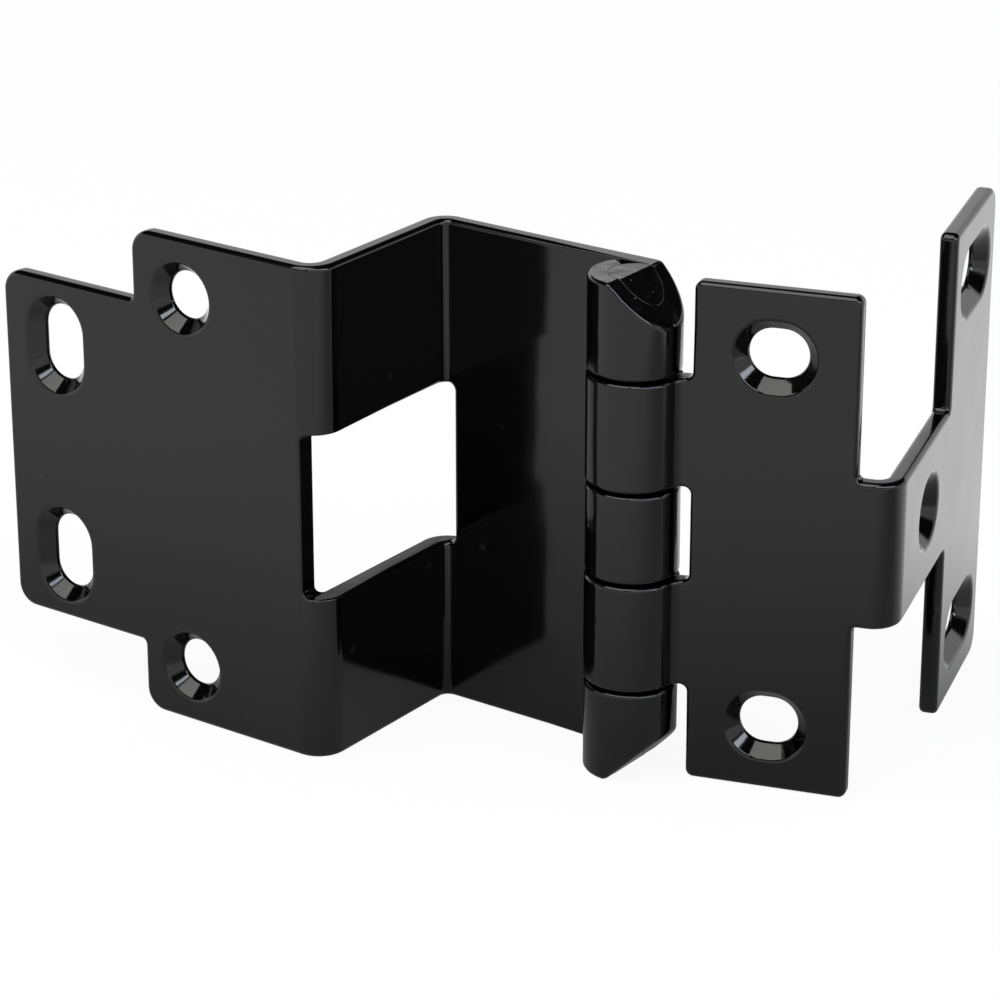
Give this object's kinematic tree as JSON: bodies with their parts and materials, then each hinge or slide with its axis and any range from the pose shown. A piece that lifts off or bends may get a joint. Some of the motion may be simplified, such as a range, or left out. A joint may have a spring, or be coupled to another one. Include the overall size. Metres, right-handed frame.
{
  "type": "five-knuckle wrap-around cabinet hinge",
  "caption": "Wrap-around butt hinge for an overlay cabinet door: two folded, countersunk steel leaves on one fixed pin, finished in gloss black enamel.",
  "frame": {"origin": "midway between the cabinet leaf's two round screw holes, on the face of its screw plate that lies against the side panel", "axes": "+Z along the hinge pin, +X from the screw plate's narrow end towards the pin, +Y into the side panel"},
  "size_m": [0.0888, 0.0619, 0.0508],
  "materials": {
    "black_enamel": "gloss"
  },
  "bodies": {
    "cabinet_side": {"cabinet_leaf": "black_enamel", "hinge_pin": "black_enamel"},
    "door_side": {"door_leaf": "black_enamel"}
  },
  "joints": [
    {"name": "door_swing", "type": "hinge", "parent": "cabinet_side", "child": "door_side", "pos_m": [0.0411, 0.01543, 0], "axis": [0, 0, 1], "range_deg": [-197, 73]}
  ]
}
